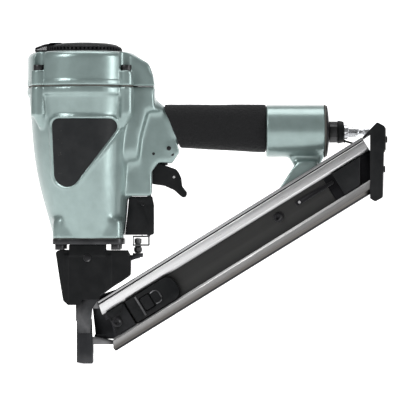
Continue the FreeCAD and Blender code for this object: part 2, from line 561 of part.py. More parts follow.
# ---------------------------------------------------------------- trigger group
def make_trigger_group():
    trigger = keep(new_body("trigger"))
    extrude(trigger, "blade", "XZ", [[
        ("62.8", "164.6"), ("62.8", "180"), ("60.2", "186"), ("60.2", "194"), ("62.4", "196.4"), ("66", "196.4"),
        ("68.4", "194"), ("68.4", "184"), ("85", "178.2"), ("87.4", "175"), ("89.6", "170"), ("90.4", "162.6"),
        ("94.6", "157.4"), ("94.8", "155"), ("93.4", "152.6"), ("91.4", "152.2"), ("89.4", "153.2"), ("83", "159"),
        ("74", "163")]], "-trigger_half", "trigger_half")
    extrude(trigger, "hollow", "XZ", [[
        ("56", "200"), ("56", "166.6"), ("75", "165.8"), ("87.4", "164.4"), ("86.6", "170"), ("84.6", "185"),
        ("75", "200")]], "-trigger_slot", "trigger_slot", cut=True)
    extrude(trigger, "pivot_hole", "XZ", [("pivot_x", "pivot_z", "pin_radius + fit")], "-12", "12", cut=True)
    extrude(trigger, "arm_hole", "XZ", [("arm_x", "arm_z", "1.2 + fit")], "-12", "12", cut=True)
    for label, across, up, radius, half in (
            ("trigger_pin", "pivot_x", "pivot_z", "pin_radius", "cheek_half"),
            ("trigger_arm_pin", "arm_x", "arm_z", "1.2", "trigger_half"),
            ("valve_dowel", "dowel_x", "dowel_z", "dowel_radius", "(cheek_half + 0.6)"),
            ("valve_roll_pin", "roll_pin_x", "roll_pin_z", "pin_radius", "cheek_half")):
        pin = keep(new_body(label))
        extrude(pin, "pin", "XZ", [(across, up, radius)], f"-{half}", half)
    arm = keep(new_body("trigger_arm"))
    extrude(arm, "lever", "XZ", [[
        ("80.6", "169", "1"), ("85.2", "169", "1.4"), ("85.2", "173", "1.6"), ("76", "178.2"), ("64.4", "178.8"),
        ("58.4", "181.6"), ("58.4", "179.9"), ("64", "177")]], "-5.4", "5.4")
    extrude(arm, "arm_hole", "XZ", [("arm_x", "arm_z", "1.2 + fit")], "-12", "12", cut=True)

    body = keep(new_body("valve_body"))
    inner = "stem_radius + 1.2"
    revolve(body, "turned", [[
        ("stem_radius + fit", "valve_low"), ("4.6", "valve_low"), ("4.6", "184.6"), ("valve_radius", "184.6"),
        ("valve_radius", "dowel_z - 2.4"), ("3.5", "dowel_z - 2.4"), ("3.5", "dowel_z + 2.4"),
        ("valve_radius", "dowel_z + 2.4"), ("valve_radius", "valve_high"), (inner, "valve_high"),
        (inner, "dowel_z + 3"), ("stem_radius + fit", "dowel_z + 3")]], "valve_x")
    stem = keep(new_body("valve_plunger"))
    revolve(stem, "turned", [[
        ("0", "stem_low", ), ("stem_radius", "stem_low"), ("stem_radius", "valve_high + 1.4"),
        ("5", "valve_high + 1.4"), ("5", "valve_high + 3"), ("0", "valve_high + 3")]], "valve_x")
    spring = keep(new_body("plunger_spring"))
    coil(spring, "coil", "valve_x", "3.6", "0.5", "valve_high + 3.1", "valve_high + 10.4", 3)


# ---------------------------------------------------------------- nose, contact arm
def make_nose():
    gasket = keep(new_body("nose_gasket"))
    plate = box_loop("barrel_low_left + 0.4", "-flange_depth + 0.4", "barrel_low_right - 0.4",
                     "flange_depth - 0.4", "flange_corner")
    holes = [(across, deep, "cover_bolt_radius + fit") for across, deep in NOSE_BOLTS]
    extrude(gasket, "sheet", "XY", [plate, ("0", "0", "17.4")] + holes, "nose_plate_top", "barrel_low")

    nose = keep(new_body("nose"))
    edge = box_loop("barrel_low_left - 0.2", "-flange_depth", "barrel_low_right + 0.8", "flange_depth",
                    "flange_corner")
    extrude(nose, "plate", "XY", [edge], "nose_plate_low", "nose_plate_top")
    extrude(nose, "boss", "XY", [("0", "0", "11")], "92", "nose_plate_low")
    extrude(nose, "shaft", "XY", [box_loop("-4.4", "-column_half", "6.4", "column_half")], "nose_end", "96")
    extrude(nose, "guide", "XZ", [[
        ("-0.9", "50.4"), ("13.6", "50.4"), ("13.6", "60.4"), ("36", "77"), ("36", "92"), ("-0.9", "92")]],
        "-column_half", "column_half")
    extrude(nose, "toe", "XZ", [[
        ("4", "17.4"), ("28", "17.4"), ("28", "20.6"), ("12", "24"), ("4", "24")]], "-4", "column_half")
    extrude(nose, "ear", "XZ", [[
        ("10", "22"), ("30", "22"), ("42", "30", "5"), ("42", "58"), ("30", "68"), ("6", "60")]],
        "rail_far + 0.2", "rail_far + 4", turned=True)
    extrude(nose, "ear_web", "XZ", [[
        ("0", "50.4"), ("14", "50.4"), ("14", "60"), ("0", "60")]], "column_half - 1", "rail_far + 3")
    extrude(nose, "toe_web", "XZ", [[
        ("9.4", "17.4"), ("20", "17.4"), ("20", "26"), ("9.4", "26")]], "column_half - 1", "rail_far + 2.4")
    channel = box_loop("-blade_thick / 2 - 0.1", "-blade_width / 2 - 0.1", "blade_thick / 2 + 0.1",
                       "blade_width / 2 + 0.1")
    extrude(nose, "drive_channel", "XY", [channel], "0", "116", cut=True)
    extrude(nose, "feed_slot", "XZ", [[
        ("0", "11"), ("9", "16"), ("40", "35"), ("40", "58"), ("0", "57")]], "-track_half", "track_half", cut=True)
    extrude(nose, "ear_hole", "XZ", [(FRONT_BOLT_X, FRONT_BOLT_Z, "magazine_bolt_radius + fit")],
            "rail_far - 1", "rail_far + 6", cut=True, turned=True)
    for i, hole in enumerate(holes):
        extrude(nose, f"plate_hole{i}", "XY", [hole], "104", "nose_plate_top + 1", cut=True)

    bolt = new_body("nose_bolt")
    extrude(bolt, "shank", "XY", [("0", "0", "cover_bolt_radius")], "nose_plate_low", "barrel_low + 12")
    extrude(bolt, "head", "XY", [("0", "0", "4.4")], "nose_plate_low - 5", "nose_plate_low")
    places = [shift(num(across), num(deep)) for across, deep in NOSE_BOLTS]
    keep(group("nose_bolts", bolt, places))

    cover = keep(new_body("nose_cover"))
    extrude(cover, "shroud", "XZ", [[
        ("-13", "109.2"), ("-13", "104"), ("-25.6", "104", "3"), ("-21.4", "76"), ("-18.4", "58", "3"), ("-14", "54"),
        ("-1.8", "54"), ("-1.8", "59"), ("14.7", "59"), ("15.6", "63.5"), ("35", "75.4"), ("43.2", "81", "3"),
        ("43.2", "98"), ("40", "103.6"), ("20", "103.6"), ("20", "109.2")]], "-17", "17")
    extrude(cover, "inside", "XY", [box_loop("-11.5", "-15", "41", "15", "1.5")], "40", "112", cut=True)
    extrude(cover, "left_inside", "XZ", [[
        ("-9", "101.8"), ("-22.4", "101.8"), ("-16", "57"), ("-9", "57")]], "-15", "15", cut=True)
    extrude(cover, "arm_window", "XZ", [box_loop("38", "85", "46", "104")], "-10.4", "4.8", cut=True)
    screw = keep(new_body("nose_cover_screw"))
    extrude(screw, "head", "XZ", [("3.7", "97", "3.4")], "-19", "-17.05")
    extrude(cover, "screw_hole", "XZ", [("3.7", "97", "1.6 + fit")], "-20", "-14", cut=True)
    extrude(screw, "shank", "XZ", [("3.7", "97", "1.6")], "-17.05", "-11.6")


def make_contact_arm():
    tip = keep(new_body("contact_tip"))
    extrude(tip, "sleeve", "XZ", [[
        ("-6.4", "1"), ("0", "0"), ("7.6", "0"), ("8.7", "1"), ("8.7", "13"), ("7.6", "41"), ("-6.4", "41")]],
        "-8", "8")
    extrude(tip, "front_strip", "XZ", [box_loop("-7.4", "39", "-4.8", "56")], "-4", "4")
    extrude(tip, "arm", "XZ", [[
        ("-6.4", "28"), ("6", "28"), ("8", "50"), ("20", "70"), ("36", "92", "4"), ("54", "98"), ("54", "101.2"),
        ("34", "98", "4"), ("-2", "58"), ("-6.4", "50")]], "-9.6", "-7.4")
    extrude(tip, "lug", "XZ", [box_loop("45", "97.6", "54.4", "101.2")], "-9.6", "4")
    extrude(tip, "inside", "XZ", [[
        ("-4.8", "9"), ("6.8", "9"), ("6.8", "9.1"), ("20", "9.1"), ("20", "60"), ("-4.8", "60")]],
        "-column_half - 0.4", "column_half + 0.4", cut=True)
    extrude(tip, "mouth", "XY", [("0", "0", "mouth_radius")], "-2", "10", cut=True)
    extrude(tip, "far_clear", "XZ", [[
        ("-10", "22"), ("12", "22"), ("12", "60"), ("-10", "60")]], "column_half", "12", cut=True)
    extrude(tip, "stud_hole", "XY", [("lever_x", "0", "2 + fit")], "90", "110", cut=True)
    stud = keep(new_body("adjuster_stud"))
    extrude(stud, "stud", "XY", [("lever_x", "0", "2")], "96", "115")
    knob = keep(new_body("adjuster_knob"))
    revolve(knob, "turned", [[
        ("2 + fit", "102"), ("3", "101.6"), ("3.8", "103"), ("3.8", "106"), ("3", "107.4"), ("2.6", "107.4"),
        ("2.6", "frame_low + 2"), ("3.4", "frame_low + 2"), ("3.4", "114.6"), ("2 + fit", "114.6")]], "lever_x")
    lever = keep(new_body("push_lever"))
    extrude(lever, "plate", "XZ", [
        [("frame_left", "frame_low", "1"), ("frame_right", "frame_low", "1"), ("frame_right", "frame_top - 1"),
         ("strip_right", "frame_top + 1"), ("strip_right", "strip_top", "1"), ("strip_left", "strip_top", "1"),
         ("strip_left", "frame_top"), ("frame_left", "frame_top", "1")],
        box_loop("frame_left + 1", "frame_low + 1.5", "frame_right - 1.4", "frame_top - 1.5")],
        "-lever_half", "lever_half")
    extrude(lever, "low_pad", "XZ", [box_loop("frame_left", "frame_low", "frame_right - 4", "frame_low + 1.5")],
            "-3.6", "3.6")
    extrude(lever, "high_pad", "XZ", [box_loop("frame_left", "frame_top - 1.5", "frame_right - 4", "frame_top")],
            "-4.4", "4.4")
    extrude(lever, "neck_hole", "XY", [("lever_x", "0", "2.6 + fit")], "frame_low - 1", "frame_low + 3", cut=True)
    guard = keep(new_body("lever_guard"))
    extrude(guard, "block", "XZ", [[
        ("37.8", "guard_low"), ("64.4", "guard_low", "2"), ("64.4", "guard_high - 8", "3"),
        ("62.8", "guard_high"), ("41.6", "guard_high"), ("40.2", "138")]], "-guard_half", "guard_half")
    extrude(guard, "frame_space", "XZ", [box_loop("43.8", "110", "63", "127")], "-6", "6", cut=True)
    extrude(guard, "strip_slot", "XY", [box_loop("57.6", "-1.9", "62.4", "1.9")], "116", "156", cut=True)
    extrude(guard, "spring_pocket", "XY", [("lever_x", "0", "4.8")], "120", "143", cut=True)
    spring = keep(new_body("contact_spring"))
    coil(spring, "coil", "lever_x", "3.8", "0.55", "frame_top + 0.1", "142.9", 6)
    roller = keep(new_body("lever_guide_pin"))
    extrude(roller, "pin", "XZ", [("58.9 - 4.6", "146", "1.4")], "-guard_half - 0.6", "guard_half + 0.6")
    extrude(guard, "guide_pin_hole", "XZ", [("58.9 - 4.6", "146", "1.4 + fit")], "-12", "12", cut=True)


# ---------------------------------------------------------------- magazine
def tail_plane(level):
    """A cut square to the horizontal at a world X, as (along, up) points of the magazine's own frame."""
    foot = f"({level}) / cos(pitch)"
    return [(f"{foot} - 20 * tan(pitch)", "-20"), (f"{foot} + 80 * tan(pitch)", "80"),
            (f"{foot} + 200", "80"), (f"{foot} + 200", "-20")]


def make_magazine():
    rail = keep(new_body("magazine_body"))
    section = [
        ("rail_far", "0.8"), ("rail_far", "rail_height", "1"), ("-rail_near + 2", "rail_height", "1"),
        ("-rail_near + 2", "46.2"), ("-rail_near + 4", "46.2"), ("-rail_near + 4", "45"), ("-rail_near", "45", "0.8"),
        ("-rail_near", "37.6"), ("-rail_near + 2.4", "channel_high"), ("-track_half", "channel_high"),
        ("-track_half", "track_high"), ("track_half", "track_high"), ("web_near", "track_high"),
        ("web_near", "track_low"), ("-track_half", "track_low"), ("-track_half", "channel_low"),
        ("-rail_near + 1.4", "channel_low"), ("-rail_near", "9.4", "0.8"), ("-rail_near", "4.8"),
        ("-rail_near + 3.6", "0.8", "1")]
    extrude(rail, "extrusion", "YZ", [section], "24", "330")
    extrude(rail, "tail_cut", "XZ", [tail_plane("magazine_tail")], "-15", "15", cut=True)
    extrude(rail, "front_cut", "XZ", [[
        ("0", "-5"), ("36", "-5"), ("36", "4"), ("40.6", "11.8"), ("46.6", "30"), ("42", "30"),
        ("46.8", "50"), ("0", "50")]], "-15", "15", cut=True)
    for name, along, up in (("front_hole", "front_bolt_u", "front_bolt_v"),
                            ("bracket_hole", "bracket_bolt_u", "bracket_bolt_v")):
        extrude(rail, name, "XZ", [(along, up, "magazine_bolt_radius + fit")], "-15", "15", cut=True)
    for i in range(2):
        screw_hole = ("rail_far - 2.6", f"{8 + 30 * i}", "1")
        extrude(rail, f"tail_hole{i}", "YZ", [screw_hole], "280", "345", cut=True)

    guide = keep(new_body("nail_guide"))
    extrude(guide, "liner", "YZ", [box_loop("track_half", "track_low + 0.4", "web_near", "track_high - 0.4")],
            "48", "280")
    for name, along, up in (("front_hole", "front_bolt_u", "front_bolt_v"),
                            ("bracket_hole", "bracket_bolt_u", "bracket_bolt_v")):
        extrude(guide, name, "XZ", [(along, up, "magazine_bolt_radius + fit")], "-15", "15", cut=True)

    block = keep(new_body("front_block"))
    extrude(block, "block", "XZ", [[
        ("46", "12"), ("65.4", "12"), ("65.4", "34.6", "1.5"), ("46.8", "34.6")]], "-rail_near + 0.4", "-track_half - 0.3")
    extrude(block, "bolt_hole", "XZ", [("front_bolt_u", "front_bolt_v", "magazine_bolt_radius + fit")],
            "-12", "0", cut=True)

    feeder = keep(new_body("nail_feeder"))
    extrude(feeder, "slide", "XZ", [[
        ("feeder_front", "12.4", "1"), ("feeder_rear", "12.4", "8"), ("feeder_rear", "34.4", "8"),
        ("feeder_front", "34.4", "1")]], "-rail_near - 0.6", "-track_half - 0.5")
    extrude(feeder, "pusher", "XZ", [box_loop("feeder_front", "6", "feeder_front + 22", "42.6", "1")],
            "-track_half + 0.3", "track_half - 0.3")
    extrude(feeder, "neck", "XZ", [box_loop("feeder_front + 4", "15", "feeder_front + 20", "32")],
            "-track_half - 0.6", "0")
    extrude(feeder, "release_pocket", "XZ", [box_loop("79.8", "16.8", "90.2", "30.2")], "-12", "-5", cut=True)
    extrude(feeder, "coil_pocket", "XZ", [("105.5", "23.4", "7.4")], "-8", "0", cut=True)
    ribbon = keep(new_body("feeder_spring"))
    extrude(ribbon, "coil", "XZ", [("105.5", "23.4", "7"), ("105.5", "23.4", "3")], "-7.6", "-2.2")
    release = keep(new_body("feeder_release"))
    extrude(release, "button", "XZ", [box_loop("80.4", "17.4", "89.6", "29.6", "1.6")], "-rail_near - 2.6", "-6.8")

    block = keep(new_body("tail_block"))
    extrude(block, "block", "XZ", [[
        ("290", "12.4", "1"), ("322", "12.4"), ("322", "34.4"), ("290", "34.4", "1")]], "-rail_near + 0.6", "web_near - 0.1")
    extrude(block, "tail_cut", "XZ", [tail_plane("magazine_tail - 9")], "-15", "15", cut=True)
    lever = keep(new_body("stop_lever"))
    extrude(lever, "leaf", "XZ", [[
        ("247", "26", "1.5"), ("287", "26.4", "1.2"), ("287", "29.4", "1.2"), ("247", "31", "1.5")]], "-2.6", "-1")
    extrude(lever, "pivot_hole", "XZ", [("251", "28.4", "1.2 + fit")], "-4", "4", cut=True)
    pin = keep(new_body("stop_lever_pin"))
    extrude(pin, "shank", "XZ", [("251", "28.4", "1.2")], "-3.4", "5")
    extrude(rail, "stop_pin_hole", "XZ", [("251", "28.4", "1.2 + fit")], "0", "5.4", cut=True)
    extrude(guide, "stop_pin_hole", "XZ", [("251", "28.4", "1.2 + fit")], "0", "5.4", cut=True)

    for label, along, up, near, far in (
            ("front_bolt", "front_bolt_u", "front_bolt_v", "-rail_near - 2.6", "rail_far + 8"),
            ("bracket_bolt", "bracket_bolt_u", "bracket_bolt_v", "-2.8", "rail_far + 13")):
        bolt = keep(new_body(label))
        seat = "-rail_near + 0.4" if label == "front_bolt" else "track_half"
        extrude(bolt, "head", "XZ", [(along, up, "magazine_bolt_head")], near, seat)
        extrude(bolt, "shank", "XZ", [(along, up, "magazine_bolt_radius")], seat, far)
        hexagon = [(f"{along} + {2.3 * math.cos(math.radians(a)):.5f}", f"{up} + {2.3 * math.sin(math.radians(a)):.5f}")
                   for a in range(0, 360, 60)]
        extrude(bolt, "socket", "XZ", [hexagon], f"{near} - 1", f"{near} + 1.6", cut=True)
    nut = new_body("nut")
    corners = [(f"{4.6 * math.cos(math.radians(a)):.5f}", f"{4.6 * math.sin(math.radians(a)):.5f}")
               for a in range(0, 360, 60)]
    extrude(nut, "hexagon", "XZ", [corners, ("0", "0", "magazine_bolt_radius + fit")], "0", "4")
    places = [MAGAZINE * shift(num(along), num(f"rail_far + {depth}"), num(up))
              for along, up, depth in (("front_bolt_u", "front_bolt_v", 4), ("bracket_bolt_u", "bracket_bolt_v", 9))]
    keep(group("magazine_nuts", nut, places))
    for body in nodes:
        if body.Label in MAGAZINE_NODES:
            body.Placement = MAGAZINE


MAGAZINE_NODES = ("magazine_body", "nail_guide", "front_block", "nail_feeder", "feeder_spring", "feeder_release",
                  "tail_block", "stop_lever", "stop_lever_pin", "front_bolt", "bracket_bolt")


def make_tail_cap():
    cap = keep(new_body("magazine_end_cap"))
    extrude(cap, "shell", "XZ", [[
        ("magazine_tail", "151.5"), ("267.6", "148.6", "2"), ("274.4", "152.4", "2"), ("275.4", "193"),
        ("277", "196"), ("277", "216.6", "4"), ("269.6", "220.6", "2"), ("256.4", "207"), ("256.4", "205"),
        ("magazine_tail", "209.6")]], "-rail_near - 1.4", "rail_far + 1.4")
    middle = "(rail_far - rail_near) / 2"
    screw = new_body("tail_screw")
    extrude(screw, "head", "YZ", [("0", "0", "3")], "0", "1.6")
    extrude(screw, "shank", "YZ", [("0", "0", "1.5")], "-8", "0")
    places = []
    for i, (face, up) in enumerate((("277", "205"), ("275.1", "178"))):
        extrude(cap, f"screw_hole{i}", "YZ", [(middle, up, "1.5 + fit")], f"{face} - 9", "280", cut=True)
        places.append(TAIL * shift(num(face), num(middle), num(up)))
    keep(group("tail_screws", screw, places))
    cap.Placement = TAIL


make_housing()
make_label_plate()
make_cover()
make_cover_bolts()
make_deflector()
make_engine()
make_handle_fittings()
make_trigger_group()
make_nose()
make_contact_arm()
make_magazine()
make_tail_cap()
doc.recompute()

faults = [f"{item.Name}: {item.State}" for item in doc.Objects
          if "Invalid" in item.State or "Error" in item.State]
if faults:
    raise RuntimeError("did not build: " + "; ".join(faults))
os.makedirs("parts", exist_ok=True)
for node in nodes:
    if node.Shape.isNull() or not node.Shape.isValid():
        raise RuntimeError(f"{node.Label} has no valid shape")
    node.Shape.exportStep(f"parts/{node.Label}.step")
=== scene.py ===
import json
import math

import bmesh
import bpy
from mathutils import Matrix, Vector, noise
from mathutils.bvhtree import BVHTree
from mathutils.geometry import convex_hull_2d


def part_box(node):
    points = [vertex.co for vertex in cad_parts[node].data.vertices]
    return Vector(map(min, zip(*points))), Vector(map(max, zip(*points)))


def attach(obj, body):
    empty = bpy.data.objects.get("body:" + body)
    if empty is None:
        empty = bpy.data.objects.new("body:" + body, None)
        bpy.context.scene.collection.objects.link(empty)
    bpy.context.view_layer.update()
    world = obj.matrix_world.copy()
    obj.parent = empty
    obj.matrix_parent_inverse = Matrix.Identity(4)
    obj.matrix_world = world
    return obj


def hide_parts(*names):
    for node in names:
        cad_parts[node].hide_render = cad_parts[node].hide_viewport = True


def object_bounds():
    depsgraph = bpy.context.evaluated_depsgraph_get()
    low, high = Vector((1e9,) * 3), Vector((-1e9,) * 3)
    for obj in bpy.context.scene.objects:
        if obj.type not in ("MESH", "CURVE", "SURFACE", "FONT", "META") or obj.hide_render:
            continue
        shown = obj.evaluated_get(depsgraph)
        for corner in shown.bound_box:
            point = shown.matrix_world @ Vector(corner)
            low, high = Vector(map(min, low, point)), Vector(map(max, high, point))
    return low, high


# Looks of the pneumatic nail gun, in metres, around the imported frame.
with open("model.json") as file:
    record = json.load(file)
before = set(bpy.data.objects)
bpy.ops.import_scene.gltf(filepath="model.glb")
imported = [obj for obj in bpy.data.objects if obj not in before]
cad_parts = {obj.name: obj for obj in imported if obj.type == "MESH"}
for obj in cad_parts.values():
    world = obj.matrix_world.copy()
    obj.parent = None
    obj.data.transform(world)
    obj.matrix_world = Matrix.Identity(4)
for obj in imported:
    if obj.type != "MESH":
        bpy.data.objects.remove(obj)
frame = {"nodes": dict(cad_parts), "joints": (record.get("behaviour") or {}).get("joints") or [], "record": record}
cad_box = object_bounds()
NODES = frame["nodes"]
BODY_OF = {node: body for body, members in frame["record"]["behaviour"]["bodies"].items() for node in members}
JOINTS = {joint["name"]: joint for joint in frame["joints"]}
MM = 0.001
WELD = 1e-6
FINE_WELD = 1e-7
FLAT_ANGLE = math.radians(1)

# the magazine's own directions: along its length, across it and up it
ALONG = Vector(JOINTS["feeder_slide"]["axis"]).normalized()
ACROSS = Vector(JOINTS["release_press"]["axis"]).normalized()
UP = ALONG.cross(ACROSS)
MAGAZINE_DROP = 8 * MM
MAGAZINE = Matrix.Translation((0, 0, -MAGAZINE_DROP)) @ Matrix((ALONG, ACROSS, UP)).transposed().to_4x4()


# ---------------------------------------------------------------- materials
def shader(name):
    """A new material, its node tree and its surface shader."""
    material = bpy.data.materials.new(name)
    material.use_nodes = True
    tree = material.node_tree
    return material, tree, tree.nodes["Principled BSDF"]


def add(tree, kind, values=None, **settings):
    """A node with its settings and its unlinked input values."""
    node = tree.nodes.new(kind)
    for key, value in settings.items():
        setattr(node, key, value)
    for key, value in (values or {}).items():
        node.inputs[key].default_value = value
    return node


def mapped(tree, source, low, high, from_low=0.3, from_high=0.7):
    """Maps a socket's value from one range to another, clamped."""
    node = add(tree, "ShaderNodeMapRange", {1: from_low, 2: from_high, 3: low, 4: high})
    tree.links.new(source, node.inputs[0])
    return node.outputs[0]


def blend(tree, amount, low, high):
    """Mixes two colours, each a tuple or a socket, by a socket's value."""
    node = add(tree, "ShaderNodeMix", data_type="RGBA")
    tree.links.new(amount, node.inputs["Factor"])
    for slot, colour in ((6, low), (7, high)):
        if isinstance(colour, tuple):
            node.inputs[slot].default_value = (*colour, 1)
        else:
            tree.links.new(colour, node.inputs[slot])
    return node.outputs[2]


def place(tree, stretch=(1, 1, 1), turned=False):
    """Object coordinates, turned into the magazine's directions where asked, then stretched."""
    coords = add(tree, "ShaderNodeTexCoord").outputs["Object"]
    if turned:
        rotation = MAGAZINE.inverted().to_euler()
        turn = add(tree, "ShaderNodeMapping", {"Rotation": rotation})
        tree.links.new(coords, turn.inputs["Vector"])
        coords = turn.outputs["Vector"]
    scale = add(tree, "ShaderNodeMapping", {"Scale": stretch})
    tree.links.new(coords, scale.inputs["Vector"])
    return scale.outputs["Vector"]


def grain(tree, coords, scale, detail=4, rough=0.55):
    """Noise over the coordinates."""
    node = add(tree, "ShaderNodeTexNoise", {"Scale": scale, "Detail": detail, "Roughness": rough})
    tree.links.new(coords, node.inputs["Vector"])
    return node.outputs["Fac"]


def bump(tree, principled, height, strength, distance):
    """Adds relief on top of any relief that the shader already has."""
    node = add(tree, "ShaderNodeBump", {"Strength": strength, "Distance": distance})
    tree.links.new(height, node.inputs["Height"])
    if principled.inputs["Normal"].is_linked:
        tree.links.new(principled.inputs["Normal"].links[0].from_socket, node.inputs["Normal"])
    tree.links.new(node.outputs["Normal"], principled.inputs["Normal"])


def finish(name, low, high, metallic, smooth, rough, fine=1500, bump_depth=0.02, worn=None, coat=0.0,
           stretch=(1, 1, 1), turned=False, strength=0.35, specular=0.5):
    """A surface with mottled colour, uneven gloss, a fine grain and, where asked, lighter worn edges."""
    material, tree, principled = shader(name)
    coords = place(tree, stretch, turned)
    cloud = grain(tree, coords, fine / 30)
    colour = blend(tree, mapped(tree, cloud, 0, 1), low, high)
    if worn:
        edges = add(tree, "ShaderNodeNewGeometry").outputs["Pointiness"]
        scuffed = add(tree, "ShaderNodeMath", operation="MULTIPLY")
        tree.links.new(mapped(tree, edges, 0, 1, 0.53, 0.62), scuffed.inputs[0])
        tree.links.new(mapped(tree, cloud, 0.2, 1), scuffed.inputs[1])
        colour = blend(tree, scuffed.outputs[0], colour, worn)
    tree.links.new(colour, principled.inputs["Base Color"])
    speck = grain(tree, coords, fine)
    tree.links.new(mapped(tree, speck, smooth, rough), principled.inputs["Roughness"])
    principled.inputs["Metallic"].default_value = metallic
    principled.inputs["Specular IOR Level"].default_value = specular
    principled.inputs["Coat Weight"].default_value = coat
    principled.inputs["Coat Roughness"].default_value = 0.12
    bump(tree, principled, speck, strength, bump_depth * MM)
    return material


def foam_finish():
    """Closed-cell foam: rounded grains about a millimetre across, soft sheen, no gloss."""
    material, tree, principled = shader("grip_foam_finish")
    coords = place(tree)
    cells = add(tree, "ShaderNodeTexVoronoi", {"Scale": 620, "Randomness": 1.0}, feature="F1")
    tree.links.new(coords, cells.inputs["Vector"])
    fluff = grain(tree, coords, 900, 6, 0.7)
    tree.links.new(blend(tree, mapped(tree, fluff, 0, 1), (0.003, 0.003, 0.0034), (0.011, 0.0113, 0.012)),
                   principled.inputs["Base Color"])
    tree.links.new(mapped(tree, fluff, 0.72, 0.95), principled.inputs["Roughness"])
    principled.inputs["Sheen Weight"].default_value = 0.06
    principled.inputs["Specular IOR Level"].default_value = 0.15
    principled.inputs["Sheen Roughness"].default_value = 0.5
    bump(tree, principled, fluff, 0.8, 0.5 * MM)
    bump(tree, principled, cells.outputs["Distance"], 0.7, 0.6 * MM)
    return material


def paint_magazine_shade(material):
    """Painted shade: a darker lower rail, where its underside faces away from the light, and a near-black channel
    floor for the shade in the recess between the rails; by height and depth in the magazine.
    """
    tree = material.node_tree
    axes = add(tree, "ShaderNodeSeparateXYZ")
    tree.links.new(place(tree, turned=True), axes.inputs["Vector"])
    base = tree.nodes["Principled BSDF"].inputs["Base Color"]
    drop = UP.z * MAGAZINE_DROP
    # painted shade: the lower rail turns brownish grey below a height in the magazine
    shaded_low_rail = mapped(tree, axes.outputs["Z"], 1, 0, 4 * MM - drop, 14 * MM - drop)
    colour = blend(tree, shaded_low_rail, base.links[0].from_socket, (0.09, 0.085, 0.08))
    # painted shade: the channel floor between the rails turns near black, for the shade inside the recess
    channel_floor_shade = add(tree, "ShaderNodeMath", operation="MULTIPLY")
    tree.links.new(mapped(tree, axes.outputs["Y"], 0, 1, -8.2 * MM, -7.6 * MM), channel_floor_shade.inputs[0])
    tree.links.new(mapped(tree, axes.outputs["Y"], 1, 0, 5.0 * MM, 5.6 * MM), channel_floor_shade.inputs[1])
    tree.links.new(blend(tree, channel_floor_shade.outputs[0], colour, (0.02, 0.02, 0.022)), base)


FINISHES = {
    "housing_paint": finish(
        "housing_paint_finish", (0.185, 0.244, 0.236), (0.218, 0.284, 0.276), metallic=0.6, smooth=0.28,
        rough=0.36, fine=2600, bump_depth=0.012, worn=(0.45, 0.54, 0.52), coat=0.35, strength=0.2),
    "plate_black": finish(
        "plate_finish", (0.008, 0.009, 0.01), (0.014, 0.015, 0.016), metallic=0.0, smooth=0.3,
        rough=0.42, fine=2200, bump_depth=0.02, worn=(0.04, 0.04, 0.04), specular=0.12),
    "gasket_sheet": finish(
        "gasket_finish", (0.05, 0.05, 0.045), (0.09, 0.085, 0.075), metallic=0.0, smooth=0.7,
        rough=0.85, fine=1800, bump_depth=0.03),
    "black_steel": finish(
        "black_steel_finish", (0.01, 0.01, 0.011), (0.02, 0.02, 0.022), metallic=0.7, smooth=0.26,
        rough=0.4, fine=1700, bump_depth=0.02, worn=(0.16, 0.16, 0.16), specular=0.2),
    "black_plastic": finish(
        "black_plastic_finish", (0.005, 0.0055, 0.006), (0.01, 0.0105, 0.011), metallic=0.0,
        smooth=0.34, rough=0.48, fine=2400, bump_depth=0.035, worn=(0.025, 0.025, 0.027), specular=0.08),
    "grip_foam": foam_finish(),
    "inner_alloy": finish(
        "inner_alloy_finish", (0.55, 0.55, 0.56), (0.68, 0.68, 0.69), metallic=1.0, smooth=0.3,
        rough=0.42, fine=1500),
    "seal_rubber": finish(
        "seal_rubber_finish", (0.012, 0.012, 0.012), (0.022, 0.022, 0.022), metallic=0.0, smooth=0.5,
        rough=0.65, fine=1500),
    "bright_steel": finish(
        "bright_steel_finish", (0.5, 0.5, 0.51), (0.66, 0.66, 0.67), metallic=1.0, smooth=0.2,
        rough=0.34, fine=1900, bump_depth=0.015),
    "dark_steel": finish(
        "dark_steel_finish", (0.014, 0.0145, 0.016), (0.028, 0.029, 0.031), metallic=0.8, smooth=0.28,
        rough=0.42, fine=1500, bump_depth=0.03, worn=(0.18, 0.18, 0.185), specular=0.2),
    "magazine_alloy": finish(
        "magazine_alloy_finish", (0.36, 0.36, 0.365), (0.6, 0.6, 0.605), metallic=1.0, smooth=0.24,
        rough=0.44, fine=3000, bump_depth=0.03, stretch=(0.015, 1, 1), turned=True, strength=0.9),
    "plug_steel": finish(
        "plug_steel_finish", (0.5, 0.51, 0.53), (0.66, 0.67, 0.69), metallic=1.0, smooth=0.18,
        rough=0.3, fine=2000, bump_depth=0.01),
    "brass_parts": finish(
        "brass_finish", (0.55, 0.38, 0.14), (0.68, 0.48, 0.2), metallic=1.0, smooth=0.25, rough=0.38,
        fine=1600, bump_depth=0.02),
}
# Near-black finish for the nail guide: painted shade of the magazine channel's recess
CHANNEL_SHADE_FINISH = finish(
    "channel_shade_finish", (0.012, 0.012, 0.012), (0.024, 0.024, 0.023), metallic=0.4, smooth=0.34,
    rough=0.46, fine=2600, bump_depth=0.015, stretch=(0.03, 1, 1), turned=True)
paint_magazine_shade(FINISHES["magazine_alloy"])
SLOT_OF = {part["node"]: part["material_slot"] for part in frame["record"]["subparts"]}
for node, cad in NODES.items():
    for cad_slot in cad.material_slots:
        # the nail guide takes the painted-shade channel finish
        cad_slot.material = CHANNEL_SHADE_FINISH if node == "nail_guide" else FINISHES[SLOT_OF[node]]


# ---------------------------------------------------------------- mesh helpers
def link_piece(name, bm, slot_name, body, sharp=35):
    """A new piece from a bmesh, with its finish, its slot and the body that it rides on."""
    mesh = bpy.data.meshes.new(name)
    bmesh.ops.recalc_face_normals(bm, faces=bm.faces)
    bm.to_mesh(mesh)
    bm.free()
    piece = bpy.data.objects.new(name, mesh)
    bpy.context.scene.collection.objects.link(piece)
    mesh.materials.append(FINISHES[slot_name])
    shade(mesh, sharp)
    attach(piece, body)
    return piece


